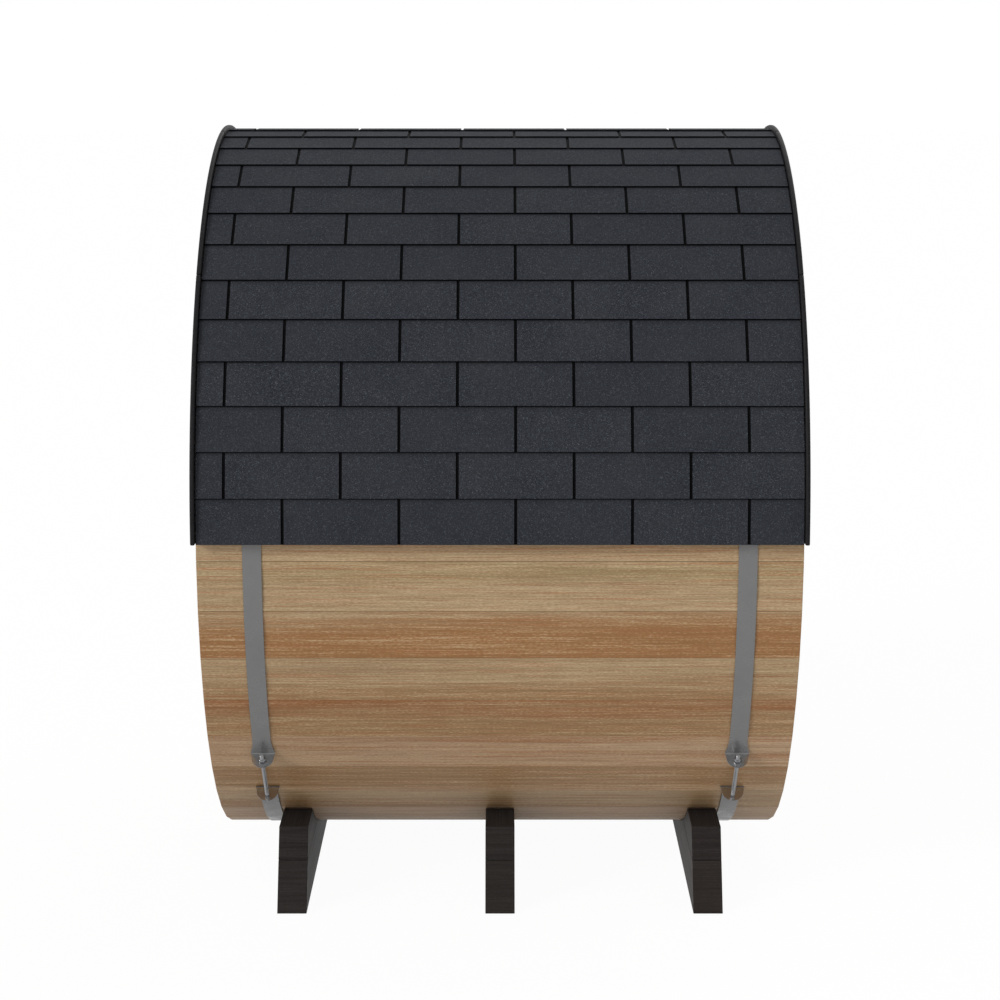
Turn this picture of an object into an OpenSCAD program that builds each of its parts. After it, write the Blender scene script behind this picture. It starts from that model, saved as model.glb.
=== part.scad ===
// Barrel sauna: mitred timber staves drawn together by two steel bands, a shingled roof over
// the upper half, and three saddle cradles. X runs along the barrel with the door in the +X
// end, -Y is the near side, Z is up and z = 0 is the ground.

/* [Barrel] */
// Length of the staves
barrel_l = 1600; // [1400:10:2400]
// Diameter over the corners between the staves
barrel_d = 2036; // [1900:2:2200]
// Number of staves round the barrel
stave_n = 46; // [38:1:54]
// Thickness of a stave
stave_t = 42; // [34:1:50]
// Gap at the joint between two staves
stave_gap = 0.6; // [0.2:0.1:0.8]
// Height of the first stave joint above the barrel's mid-plane, as an angle
stave_turn = -2; // [-3.5:0.1:3.5]

/* [End walls] */
// Thickness of an end wall
wall_t = 42; // [34:1:50]
// Set-back of an end wall from the ends of the staves
wall_inset = 126; // [90:1:200]
// Depth of the groove in the staves that holds an end wall
croze_d = 12; // [8:1:16]
// Clearance of an end wall in its groove
croze_fit = 0.3; // [0.2:0.1:0.6]

/* [Door] */
// Width of the doorway in the wall
door_w = 660; // [600:5:740]
// Height of the doorway in the wall
door_h = 1660; // [1500:5:1700]
// Height of the doorway's foot above the floor
door_step = 20; // [10:1:60]
// Width of a frame member
frame_w = 40; // [30:1:60]
// How far the frame stands out of the wall on each side
frame_proud = 8; // [4:1:15]
// Running gap between the leaf and the frame
leaf_gap = 3; // [2:0.5:5]
// Thickness of the leaf
leaf_t = 36; // [30:1:44]
// Width of the stiles and of the top rail
stile_w = 85; // [70:1:110]
// Height of the bottom rail
bottom_rail_h = 150; // [110:1:220]
// Thickness of the glass
glass_t = 8; // [6:1:10]
// How deep the glass sits in the leaf
glass_seat = 12; // [8:1:16]
// Height of a hinge
hinge_h = 90; // [70:1:120]
// Diameter of a hinge's knuckle
hinge_d = 14; // [10:1:18]
// Width of a hinge's plates
hinge_w = 24; // [18:1:28]
// Thickness of a hinge's plates
hinge_t = 3; // [2:0.5:4]
// Distance of a hinge's middle from the end of the leaf
hinge_inset = 220; // [150:5:320]
// Length of the pull
pull_l = 420; // [300:5:600]
// Thickness of the pull's bar
pull_t = 30; // [24:1:36]
// Clear finger room behind the pull
pull_room = 38; // [30:1:50]

/* [Floor] */
// Height of the floor over the lowest inside face of the barrel
floor_h = 150; // [110:1:220]
// Number of floor slats
slat_n = 8; // [6:1:10]
// Thickness of a floor slat
slat_t = 28; // [20:1:34]
// Gap between floor slats
slat_gap = 12; // [6:1:18]
// Number of bearers under the slats
bearer_n = 3; // [2:1:5]
// Thickness of a bearer
bearer_t = 45; // [30:1:60]

/* [Roof] */
// Height of the eaves above the barrel's mid-plane, as an angle
eave_angle = 0.9; // [0.5:0.1:6]
// Number of shingle courses over the roof with the ridge cap, an odd number
course_n = 27; // [21:2:33]
// Thickness of the roof boards
deck_t = 26; // [20:1:32]
// Thickness of a shingle
shingle_t = 4; // [3:0.5:6]
// How far a course runs up under the next one
shingle_lap = 18; // [10:1:26]
// Overhang of the roof over the ends of the staves
roof_over = 8.8; // [5:0.1:30]
// Width of an end trim along the roof
trim_w = 12; // [8:1:24]
// How far an end trim stands above the shingles
trim_proud = 10; // [6:1:20]
// Radius on the outer edges of an end trim
trim_round = 3; // [1:0.5:4]
// Angle covered by each of the long trim pieces
trim_piece = 40.2; // [36:0.1:42]
// Gap between the shingles and an end trim
shingle_gap = 2.5; // [1:0.5:6]

/* [Bands] */
// Width of a strap
band_w = 50; // [40:1:60]
// Thickness of a strap
band_t = 2; // [1.5:0.5:3]
// Slope of the tensioners' middle below the barrel's mid-plane, as an angle
ear_angle = 42.3; // [36:0.1:46]
// Distance between the facing ears of two straps
ear_span = 175; // [150:1:200]
// Width of an ear over its round
ear_w = 60; // [54:1:66]
// Width of an ear's foot
ear_foot = 66; // [60:1:72]
// Height of an ear over the strap
ear_h = 42; // [40:1:50]
// Height of the rod's middle over the strap
ear_hole = 20.7; // [20:0.1:22]
// Radius of the bend between a strap and its ear
ear_bend = 8.5; // [6:0.5:9]
// Diameter of a tension rod
rod_d = 12; // [10:1:14]
// Length of a rod that stands past its nut
rod_tip = 16; // [8:1:40]
// Width of a nut across its flats
nut_af = 19; // [17:1:22]
// Height of a nut
nut_h = 10; // [8:1:14]
// Diameter of a washer
washer_d = 24; // [23:1:28]
// Thickness of a washer
washer_t = 2.5; // [2:0.5:4]
// Play of the rod in the ears
rod_play = 1; // [0.6:0.1:1.5]

/* [Cradles] */
// Thickness of a cradle
cradle_t = 82; // [60:1:100]
// Width of a cradle on the ground
cradle_base = 1634; // [1500:2:1800]
// Width of a cradle across its top
cradle_top = 1418; // [1300:2:1480]
// Height of a cradle
cradle_h = 219; // [190:1:250]
// Height of a cradle's lower beam
beam_h = 133; // [110:1:160]
// Height of the barrel's lowest corner above the ground
ground_clear = 62; // [40:1:80]
// Gap between an outer cradle and the band beside it
cradle_clear = 7; // [4:1:20]

/* [Fits] */
// Clearance between pieces that lie on each other
seat = 0.3; // [0.2:0.1:0.4]

/* [Hidden] */
$fn = 96;

cedar = [0.62, 0.48, 0.35];
pale_cedar = [0.70, 0.56, 0.41];
dark_stain = [0.17, 0.15, 0.14];
shingle_grey = [0.19, 0.20, 0.21];
trim_black = [0.12, 0.11, 0.12];
steel = [0.45, 0.45, 0.45];
bright_steel = [0.72, 0.72, 0.72];
tinted_glass = [0.35, 0.30, 0.26, 0.6];

// Barrel: radius at the corners, distance of the outer and inner flats, height of the axis
stave_pitch = 360 / stave_n;
first_joint = 180 - stave_turn;
corner_r = barrel_d / 2;
flat_r = corner_r * cos(stave_pitch / 2);
inner_r = flat_r - stave_t;
axis_z = ground_clear + corner_r;
stave_groups = 6;
big = barrel_d + barrel_l;

// End walls and doorway, with heights measured from the axis
wall_x = barrel_l / 2 - wall_inset - wall_t / 2;
wall_flat_r = inner_r + croze_d - croze_fit;
floor_top = floor_h - inner_r;
doorway_foot = floor_top + door_step;
doorway_top = doorway_foot + door_h;
frame_out_w = door_w - 2 * seat;
frame_out_h = door_h - 2 * seat;
frame_depth = wall_t + 2 * frame_proud;
leaf_w = frame_out_w - 2 * frame_w - 2 * leaf_gap;
leaf_h = frame_out_h - 2 * frame_w - 2 * leaf_gap;
leaf_foot = doorway_foot + seat + frame_w + leaf_gap;
frame_face = wall_x + frame_depth / 2;
leaf_x = frame_face - leaf_t / 2;
pane_w = leaf_w - 2 * stile_w;
pane_h = leaf_h - stile_w - bottom_rail_h;
pane_z = leaf_foot + bottom_rail_h + pane_h / 2;
pull_y = -leaf_w / 2 + stile_w / 2;
pull_z = leaf_foot + leaf_h * 0.5;

// Floor
slat_under = floor_top - slat_t;
floor_half_w = sqrt(pow(inner_r - seat, 2) - pow(slat_under, 2)) - slat_gap;
slat_w = (2 * floor_half_w - (slat_n - 1) * slat_gap) / slat_n;
floor_l = 2 * wall_x - wall_t - 2 * seat;

// Bands
band_x = wall_x;
band_in_r = corner_r + seat;
band_out_r = band_in_r + band_t;
ear_face = ear_span / 2;
ear_lift = band_t * 0.15;
weld_turn = 15;
ear_hole_r = band_out_r + ear_hole;
ear_round_r = band_out_r + ear_h - ear_w / 2;
bend_y = ear_face + band_t + ear_bend;
bend_x = sqrt(pow(band_out_r + ear_lift + ear_bend, 2) - pow(bend_y, 2));
bend_turn = atan2(bend_y, bend_x);
ear_turn = 180 + ear_angle;
strap_lap = 2 * band_t;

// Roof: boards and courses share one pitch, and the middle one is the ridge
course_pitch = (180 - 2 * eave_angle) / course_n;
side_courses = (course_n - 1) / 2;
deck_flat_in = band_out_r + seat;
deck_flat_out = deck_flat_in + deck_t;
deck_corner_r = deck_flat_out / cos(course_pitch / 2);
board_half = deck_flat_out * tan(course_pitch / 2);
course_rise = shingle_t + seat;
shingle_r = deck_corner_r + 2 * course_rise;
trim_out_r = shingle_r + trim_proud;
trim_end_x = barrel_l / 2 + roof_over;
deck_l = 2 * (trim_end_x - trim_w - seat);
shingle_l = 2 * (trim_end_x - trim_w - shingle_gap);

// Cradles
cradle_x = band_x - band_w / 2 - cradle_clear - cradle_t / 2;

function on_circle(r, a) = [r * cos(a), r * sin(a)];
function barrel_outline(flat) =
    [for (i = [0 : stave_n - 1]) on_circle(flat / cos(stave_pitch / 2), first_joint + i * stave_pitch)];

// Frame of the barrel's axis: x across to the far side, y up, z along the barrel
module on_axis() {
    translate([0, 0, axis_z]) rotate([90, 0, 90]) children();
}

// Copies for the two ends and for the near and far sides, in the frame of the axis
module both_sides() {
    children();
    mirror([1, 0, 0]) children();
}

module wedge(from, to) {
    middle = (from + to) / 2;
    polygon([[0, 0], on_circle(big, from), on_circle(big, middle), on_circle(big, to)]);
}

// A stave lies with its outer face across +x, mitred on both edges and grooved for the end walls
module stave() {
    edge = tan(stave_pitch / 2);
    ease = stave_gap / 2 / cos(stave_pitch / 2);
    outer_half = flat_r * edge - ease;
    inner_half = inner_r * edge - ease;
    difference() {
        linear_extrude(barrel_l, center = true)
            polygon([
                [flat_r, -outer_half], [flat_r, outer_half], [inner_r, inner_half], [inner_r, -inner_half]
            ]);
        for (end = [-1, 1])
            translate([inner_r, 0, end * wall_x])
                cube([2 * croze_d, 3 * outer_half, wall_t + 2 * croze_fit], center = true);
    }
}

// One of the equal groups of staves, counted from the near mid-plane downwards
module stave_group(group) {
    first = round(group * stave_n / stave_groups);
    last = round((group + 1) * stave_n / stave_groups) - 1;
    color(cedar) on_axis()
        for (i = [first : last]) rotate(first_joint + (i + 0.5) * stave_pitch) stave();
}

// The full disc of an end wall, from which the door end is cut
module wall_disc() {
    linear_extrude(wall_t, center = true) polygon(barrel_outline(wall_flat_r));
}

module wall_part(x, low, high) {
    color(pale_cedar) on_axis() translate([0, 0, x]) intersection() {
        wall_disc();
        translate([low[0], low[1], -wall_t]) cube([high[0] - low[0], high[1] - low[1], 2 * wall_t]);
    }
}

module back_wall() {
    wall_part(-wall_x, [-big, -big], [big, big]);
}

module door_wall_near() {
    wall_part(wall_x, [-big, -big], [-door_w / 2, big]);
}

module door_wall_far() {
    wall_part(wall_x, [door_w / 2, -big], [big, big]);
}

module door_wall_head() {
    wall_part(wall_x, [-door_w / 2 + seat, doorway_top], [door_w / 2 - seat, big]);
}

module door_wall_foot() {
    wall_part(wall_x, [-door_w / 2 + seat, -big], [door_w / 2 - seat, doorway_foot]);
}

// A board in the door end: width, height and depth, with its foot at the given height
module door_board(w, h, depth, y, z, x) {
    on_axis() translate([y - w / 2, z, x - depth / 2]) cube([w, h, depth]);
}

// Two side members and two cross members between them
module door_ring(w, h, side_w, foot_h, head_h, depth, foot, x) {
    between = w - 2 * side_w - 2 * seat;
    for (side = [-1, 1]) door_board(side_w, h, depth, side * (w - side_w) / 2, foot, x);
    door_board(between, foot_h, depth, 0, foot, x);
    door_board(between, head_h, depth, 0, foot + h - head_h, x);
}

module door_frame() {
    color(pale_cedar)
        door_ring(frame_out_w, frame_out_h, frame_w, frame_w, frame_w, frame_depth, doorway_foot + seat, wall_x);
}

module door_pane(fit) {
    w = pane_w + 2 * glass_seat + 2 * fit;
    h = pane_h + 2 * glass_seat + 2 * fit;
    door_board(w, h, glass_t + 2 * fit, 0, pane_z - h / 2, leaf_x);
}

module door_leaf() {
    color(cedar) difference() {
        door_ring(leaf_w, leaf_h, stile_w, bottom_rail_h, stile_w, leaf_t, leaf_foot, leaf_x);
        door_pane(seat);
    }
}

module door_glass() {
    color(tinted_glass) door_pane(0);
}

// Knuckle over the gap between leaf and frame, with a plate on each
module hinge() {
    reach = hinge_w + leaf_gap / 2;
    translate([0, 0, seat + hinge_t]) rotate([90, 0, 0]) cylinder(d = hinge_d, h = hinge_h, center = true);
    translate([-reach, -hinge_h / 2, seat]) cube([2 * reach, hinge_h, hinge_t]);
}

module door_hinges() {
    gap_y = (leaf_w + leaf_gap) / 2;
    color(bright_steel) on_axis()
        for (z = [leaf_foot + hinge_inset, leaf_foot + leaf_h - hinge_inset])
            translate([gap_y, z, frame_face]) difference() {
                hinge();
                translate([-big / 2, -big / 2, -big + seat]) cube(big);
            }
}

module door_pull_posts() {
    color(cedar) on_axis()
        for (end = [-1, 1])
            translate([pull_y, pull_z + end * (pull_l / 2 - 2 * pull_t), frame_face + seat])
                cylinder(d = pull_t * 0.8, h = pull_room);
}

module door_pull_bar() {
    color(cedar) on_axis()
        translate([pull_y, pull_z, frame_face + pull_room + 2 * seat])
            linear_extrude(pull_t) {
                square([pull_t, pull_l - pull_t], center = true);
                for (end = [-1, 1]) translate([0, end * (pull_l - pull_t) / 2]) circle(d = pull_t);
            }
}

// Bearers fill the segment of the barrel under the floor
module floor_bearers() {
    reach = floor_l / 2 - bearer_t;
    color(pale_cedar) on_axis()
        for (i = [0 : bearer_n - 1])
            translate([0, 0, reach * (2 * i / (bearer_n - 1) - 1)])
                linear_extrude(bearer_t, center = true) intersection() {
                    polygon(barrel_outline(inner_r - seat));
                    translate([-big / 2, slat_under - seat - big]) square(big);
                }
}

module floor_slats() {
    color(pale_cedar) on_axis()
        for (i = [0 : slat_n - 1])
            translate([-floor_half_w + i * (slat_w + slat_gap), slat_under, -floor_l / 2])
                cube([slat_w, slat_t, floor_l]);
}

// A board of the roof, counted from the far eaves over the ridge to the near eaves
module roof_board(i) {
    edge = tan(course_pitch / 2);
    ease = seat / 2;
    outer_half = deck_flat_out * edge - ease;
    inner_half = deck_flat_in * edge - ease;
    on_axis() rotate(eave_angle + (i + 0.5) * course_pitch)
        linear_extrude(deck_l, center = true)
            polygon([
                [deck_flat_in, -inner_half], [deck_flat_out, -outer_half],
                [deck_flat_out, outer_half], [deck_flat_in, inner_half]
            ]);
}

module far_roof_boards() {
    color(pale_cedar) for (i = [0 : side_courses - 1]) roof_board(i);
}

module near_roof_boards() {
    color(pale_cedar) for (i = [side_courses + 1 : course_n - 1]) roof_board(i);
}

module ridge_board() {
    color(pale_cedar) roof_board(side_courses);
}

// Section of a course on the board whose face lies across +x: its lower edge rests on the
// course below, and its upper edge bends over the joint and runs up under the next course.
// v is the height over the board and u runs up the slope from the board's lower edge.
module course_section() {
    function at(u, v) = [deck_flat_out + v, u - board_half];
    function past(u, v) =
        let (a = course_pitch, p = [deck_flat_out + v, u - board_half])
        [p[0] * cos(a) - p[1] * sin(a), p[0] * sin(a) + p[1] * cos(a)];
    rest = shingle_lap + 2 * shingle_t;
    polygon([
        at(0, course_rise + seat), at(0, 2 * course_rise), at(2 * board_half, course_rise),
        past(shingle_lap, course_rise), past(shingle_lap, seat), at(2 * board_half, seat),
        at(rest + shingle_lap, seat), at(rest, course_rise + seat)
    ]);
}

module far_shingles() {
    color(shingle_grey) on_axis()
        for (i = [0 : side_courses - 1])
            rotate(eave_angle + (i + 0.5) * course_pitch)
                linear_extrude(shingle_l, center = true) course_section();
}

module near_shingles() {
    color(shingle_grey) mirror([0, 1, 0]) on_axis()
        for (i = [0 : side_courses - 1])
            rotate(eave_angle + (i + 0.5) * course_pitch)
                linear_extrude(shingle_l, center = true) course_section();
}

module ridge_cap() {
    color(shingle_grey) on_axis()
        translate([-board_half, deck_flat_out + course_rise + seat, -shingle_l / 2])
            cube([2 * board_half, shingle_t, shingle_l]);
}

// Rounded bar bent round the roof's end, in long pieces from both eaves and a short crown piece
module trim_profile() {
    foot_r = deck_flat_in;
    square_h = trim_out_r - trim_round - foot_r;
    translate([foot_r, 0]) square([square_h, trim_w]);
    translate([foot_r, trim_round]) square([square_h + trim_round, trim_w - 2 * trim_round]);
    for (y = [trim_round, trim_w - trim_round])
        translate([foot_r + square_h, y]) circle(r = trim_round);
}

module trim_arc(from, to) {
    gap = seat / trim_out_r * 180 / PI;
    rotate(from + gap) rotate_extrude(angle = to - from - 2 * gap, $fn = 360) trim_profile();
}

module right_roof_trim() {
    first = eave_angle + trim_piece;
    second = first + trim_piece;
    color(trim_black) on_axis() translate([0, 0, trim_end_x - trim_w]) {
        both_sides() {
            trim_arc(eave_angle, first);
            trim_arc(first, second);
        }
        trim_arc(second, 180 - second);
    }
}

module left_roof_trim() {
    mirror([1, 0, 0]) right_roof_trim();
}

// Bend and ear of a strap in the tensioner's frame: x points outwards and y down the barrel.
// The foot of the bend laps over the strap's end, a little proud of it, where it is welded on.
module ear_section() {
    intersection() {
        translate([bend_x, -bend_y]) difference() {
            circle(r = ear_bend + band_t);
            circle(r = ear_bend);
        }
        translate([bend_x, -bend_y])
            polygon([
                [0, 0], on_circle(ear_h, 90), on_circle(2 * ear_h, 135),
                on_circle(ear_h, 180 - bend_turn + weld_turn)
            ]);
    }
    translate([bend_x, -ear_face - band_t]) square([band_out_r + ear_h - bend_x, band_t]);
}

module ear_outline() {
    translate([ear_round_r, 0]) circle(d = ear_w);
    foot = ear_foot / 2;
    polygon([
        [0, -foot], [band_in_r, -foot], [ear_round_r, -ear_w / 2],
        [ear_round_r, ear_w / 2], [band_in_r, foot], [0, foot]
    ]);
}

module ear() {
    difference() {
        intersection() {
            linear_extrude(2 * ear_w, center = true) ear_section();
            rotate([-90, 0, 0]) linear_extrude(2 * big, center = true) ear_outline();
        }
        translate([ear_hole_r, 0, 0]) rotate([90, 0, 0])
            cylinder(d = rod_d + rod_play, h = 2 * ear_span, center = true);
    }
}

// The arc runs on under the bends of its ears at both ends
module strap_arc(from, to) {
    lap = strap_lap / band_in_r * 180 / PI;
    rotate(from - lap) rotate_extrude(angle = to - from + 2 * lap, $fn = 360)
        translate([band_in_r, -band_w / 2]) square([band_t, band_w]);
}

module upper_strap() {
    end = ear_turn - bend_turn;
    strap_arc(180 - end, end);
    both_sides() rotate(ear_turn) ear();
}

module lower_strap() {
    end = ear_turn + bend_turn;
    strap_arc(end, 540 - end);
    both_sides() rotate(ear_turn) mirror([0, 1, 0]) ear();
}

module left_upper_strap() {
    color(steel) on_axis() translate([0, 0, -band_x]) upper_strap();
}

module left_lower_strap() {
    color(steel) on_axis() translate([0, 0, -band_x]) lower_strap();
}

module right_upper_strap() {
    color(steel) on_axis() translate([0, 0, band_x]) upper_strap();
}

module right_lower_strap() {
    color(steel) on_axis() translate([0, 0, band_x]) lower_strap();
}

// Places the rod's own frame, with y along the rod, at the two tensioners of each band
module at_tensioners() {
    on_axis() for (x = [-band_x, band_x])
        translate([0, 0, x]) both_sides() rotate(ear_turn) translate([ear_hole_r, 0, 0]) children();
}

// A ring or bar round the rod's line, from a distance along it
module along_rod(from, h) {
    translate([0, from, 0]) rotate([-90, 0, 0]) linear_extrude(h) children();
}

washer_from = ear_face + band_t + seat / 2;
nut_from = washer_from + washer_t + seat / 2;

module tension_rods() {
    half_l = nut_from + nut_h + rod_tip;
    color(bright_steel) at_tensioners() along_rod(-half_l, 2 * half_l) circle(d = rod_d);
}

module tension_nuts() {
    color(bright_steel) at_tensioners()
        for (end = [0, 1]) mirror([0, end, 0]) along_rod(nut_from, nut_h) difference() {
            circle(d = nut_af / cos(30), $fn = 6);
            circle(d = rod_d + 2 * seat);
        }
}

module tension_washers() {
    color(bright_steel) at_tensioners()
        for (end = [0, 1]) mirror([0, end, 0]) along_rod(washer_from, washer_t) difference() {
            circle(d = washer_d);
            circle(d = rod_d + rod_play);
        }
}

// Slice of a cradle between two heights, with the saddle cut to the barrel
module cradle_slice(x, low, high) {
    function half_w(z) = (cradle_base + (cradle_top - cradle_base) * z / cradle_h) / 2;
    color(dark_stain) translate([x, 0, 0]) rotate([90, 0, 90])
        linear_extrude(cradle_t, center = true) difference() {
            polygon([[-half_w(low), low], [half_w(low), low], [half_w(high), high], [-half_w(high), high]]);
            translate([0, axis_z]) circle(r = corner_r + seat, $fn = 360);
        }
}

module cradle_beam(x) {
    cradle_slice(x, 0, beam_h);
}

module cradle_blocks(x) {
    cradle_slice(x, beam_h + seat, cradle_h);
}

cradle_beam(-cradle_x);  // left_cradle_beam
cradle_blocks(-cradle_x);  // left_cradle_blocks
cradle_beam(0);  // middle_cradle_beam
cradle_blocks(0);  // middle_cradle_blocks
cradle_beam(cradle_x);  // right_cradle_beam
cradle_blocks(cradle_x);  // right_cradle_blocks
stave_group(0);  // near_low_staves
stave_group(1);  // bottom_staves
stave_group(2);  // far_low_staves
stave_group(3);  // far_high_staves
stave_group(4);  // top_staves
stave_group(5);  // near_high_staves
back_wall();
door_wall_near();
door_wall_far();
door_wall_head();
door_wall_foot();
door_frame();
door_leaf();
door_glass();
door_hinges();
door_pull_bar();
door_pull_posts();
floor_bearers();
floor_slats();
near_roof_boards();
far_roof_boards();
ridge_board();
near_shingles();
far_shingles();
ridge_cap();
left_roof_trim();
right_roof_trim();
left_upper_strap();
left_lower_strap();
right_upper_strap();
right_lower_strap();
tension_rods();
tension_nuts();
tension_washers();
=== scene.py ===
"""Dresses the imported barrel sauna: boards, shingles, steelwork, camera and studio.

Lengths are in metres and angles in degrees. X runs along the barrel with the door at +X,
-Y is the near side, and angles round the barrel count from the far side over the top.
"""
import math
import random

import bmesh
import bpy
import numpy as np
from mathutils import Matrix, Vector


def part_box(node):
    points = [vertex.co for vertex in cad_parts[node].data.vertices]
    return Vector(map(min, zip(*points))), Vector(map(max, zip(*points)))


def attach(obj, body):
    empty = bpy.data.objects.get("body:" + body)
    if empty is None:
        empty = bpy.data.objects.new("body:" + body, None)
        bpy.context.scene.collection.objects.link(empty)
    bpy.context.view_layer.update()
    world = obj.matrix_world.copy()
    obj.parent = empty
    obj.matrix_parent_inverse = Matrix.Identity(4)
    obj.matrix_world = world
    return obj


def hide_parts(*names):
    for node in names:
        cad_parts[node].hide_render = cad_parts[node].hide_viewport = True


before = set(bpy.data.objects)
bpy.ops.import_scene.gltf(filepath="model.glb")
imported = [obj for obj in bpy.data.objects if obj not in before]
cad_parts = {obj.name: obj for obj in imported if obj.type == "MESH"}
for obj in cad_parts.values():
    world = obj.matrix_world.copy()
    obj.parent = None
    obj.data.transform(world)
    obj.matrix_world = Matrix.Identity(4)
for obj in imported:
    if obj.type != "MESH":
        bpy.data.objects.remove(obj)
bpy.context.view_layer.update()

BODY = "root"
X_AXIS = Vector((1, 0, 0))
Y_AXIS = Vector((0, 1, 0))
Z_AXIS = Vector((0, 0, 1))

# Sizes that the solids have too; SEAT is the gap between solids that rest on each other
SEAT = 0.0003
AXIS_Z = 1.080
BARREL_L = 1.600
CORNER_R = 1.018
STAVE_COUNT = 46
STAVE_T = 0.042
STAVE_GAP = 0.0006
STAVE_PITCH = 360 / STAVE_COUNT
FIRST_JOINT = 182.0
STAVE_GROUPS = (
    "near_low_staves", "bottom_staves", "far_low_staves",
    "far_high_staves", "top_staves", "near_high_staves",
)
FLAT_R = CORNER_R * math.cos(math.radians(STAVE_PITCH / 2))
INNER_R = FLAT_R - STAVE_T

WALL_X = 0.653
WALL_T = 0.042
CROZE_D = 0.012
CROZE_FIT = 0.0003
DOORWAY_W = 0.660
FRAME_W = 0.040
STILE_W = 0.085
FOOT_RAIL_H = 0.150
HINGE_H = 0.090
HINGE_T = 0.003
KNUCKLE_R = 0.007
SLAT_COUNT = 8
SLAT_GAP = 0.012
BEARER_T = 0.045

EAVE = 0.9
COURSES = 27
SIDE_COURSES = (COURSES - 1) // 2
COURSE_PITCH = (180 - 2 * EAVE) / COURSES
DECK_IN_R = 1.0206
DECK_OUT_R = 1.0466
DECK_L = 1.593
SHINGLE_L = 1.5886
COURSE_RISE = 0.0043
TRIM_PIECE = 40.2
BOARD_HALF = DECK_OUT_R * math.tan(math.radians(COURSE_PITCH / 2))

BAND_W = 0.050
BAND_T = 0.002
BAND_OUT_R = 1.0203
EAR_TURN = 222.3
EAR_FACE = 0.0875
EAR_W = 0.060
EAR_FOOT = 0.066
EAR_H = 0.042
EAR_HOLE_R = 1.0410
WASHER_FROM = 0.08965
WASHER_T = 0.0025
WASHER_R = 0.012
WASHER_HOLE_R = 0.0065
NUT_FROM = 0.0923
NUT_H = 0.010
NUT_FLATS = 0.019
ROD_HALF = 0.1183
ROD_R = 0.006

CRADLE_BASE_HALF = 0.817
CRADLE_TOP_HALF = 0.709
CRADLE_H = 0.219
CRADLE_T = 0.082

# Details that only the looks have
STAVE_EASE = 0.0014
BOARD_EASE = 0.003
FINE_EASE = 0.0015
NARROWEST = 0.02
WALL_BOARD_W = DOORWAY_W / 7
WALL_JOINT = 0.0004
WALL_EASE = 0.004
WALL_EDGE_FIT = 0.001
LEAF_EASE = 0.0025
PULL_EASE = 0.009
PULL_ROUND = 0.45
TAB_PITCH = 0.3048
TAB_SLOT = 0.0076
TAB_PHASE = 0.041
TAB_EASE = 0.0006
STRIP_EASE = 0.0003
STRIP_HEAD = 0.4 * COURSE_RISE
TRIM_ROUND = 0.0052
TRIM_EASE = 0.003
CRADLE_JOINT = 0.0012
STRAP_FLARE_L = 0.040
STRAP_EDGE = 0.0004
STRAP_ROWS = 180
EAR_BEND = 0.004
EAR_ROWS = 16
BEND_ROWS = 10
BROAD_FACES = (0, 4)
THREAD_L = 0.048
THREAD_PITCH = 0.00175
THREAD_DEPTH = 0.0009
ROD_TIP_L = 0.0015
ROD_TIP_IN = 0.001
WASHER_EASE = 0.0004
NUT_FACE_R = 0.97 * NUT_FLATS / 2
NUT_SLOPE = 0.55
PLATE_GAP = 0.002
PLATE_ROUND = 0.005
PLATE_EASE = 0.0006
KNUCKLE_GAP = 0.0008
KNUCKLE_EASE = 0.001
SCREW_PITCH = 0.030
SCREW_OUT = 0.0165
SCREW_STAGGER = 0.004
SCREW_SINK = 0.0004
# Profile of a screw's head with its socket, as (radius, level)
SCREW_HEAD = ((0.0038, 0), (0.0038, 0.0005), (0.0030, 0.0011), (0.0012, 0.0011), (0.0009, 0.0004))

# Easing a corner takes at most this share of the edges beside it
MOST_EASED = 0.45
WELD_DIST = 1e-7
SHARP_ANGLE = 35
# A face counts as a board's end where its normal is this close to the end's direction
END_FACING = 0.72
# Each board takes its grain from another place in a field of this width
GRAIN_FIELD = 40

# Camera at the photograph's viewing angle
SENSOR_W = 36.0
LENS = 89.58
EYE = (0, -7.4246, 2.394)
EYE_DIP = 10.474

# Studio: each sun has a name, the direction it shines from, a strength and the angle it fills
AMBIENT = 0.55
FLOOR_GLOW = 0.96
FLOOR_HALF = 60.0
FLOOR_DROP = 0.0002
WHITE = (1, 1, 1, 1)
FLOOR_MATTE = (0.9, 0.9, 0.9, 1)
SUNS = (
    ("front_sun", (-1.2, -0.95, 0.65), 2.2, 24),
    ("back_sun", (0.9, 0.8, 0.7), 1.1, 80),
)

# Wood tones: places along the tone ramp of the wood materials
STRAW, TAN, OLIVE, ROSE, AMBER, RUST, UMBER, ASH = ALL_TONES = [step / 7 for step in range(8)]
# Tones of the near staves, from the eaves downwards: main, second, and the edge that the second is at
UPPER_EDGE, BOTH_EDGES, LOWER_EDGE = ALL_SLANTS = -1, 0, 1
NEAR_TONES = (
    (STRAW, ROSE, BOTH_EDGES), (STRAW, OLIVE, UPPER_EDGE), (AMBER, TAN, UPPER_EDGE),
    (TAN, UMBER, LOWER_EDGE), (UMBER, RUST, UPPER_EDGE), (ASH, RUST, BOTH_EDGES),
    (UMBER, ASH, LOWER_EDGE), (TAN, UMBER, LOWER_EDGE), (ASH, ROSE, BOTH_EDGES),
)


def paint(red, green, blue):
    """Turns a display colour, 0 to 255, into the linear values that shaders take."""
    values = [channel / 255 for channel in (red, green, blue)]
    return (*[v / 12.92 if v <= 0.04045 else ((v + 0.055) / 1.055) ** 2.4 for v in values], 1.0)


def grey(level):
    return paint(level, level, level)


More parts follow.
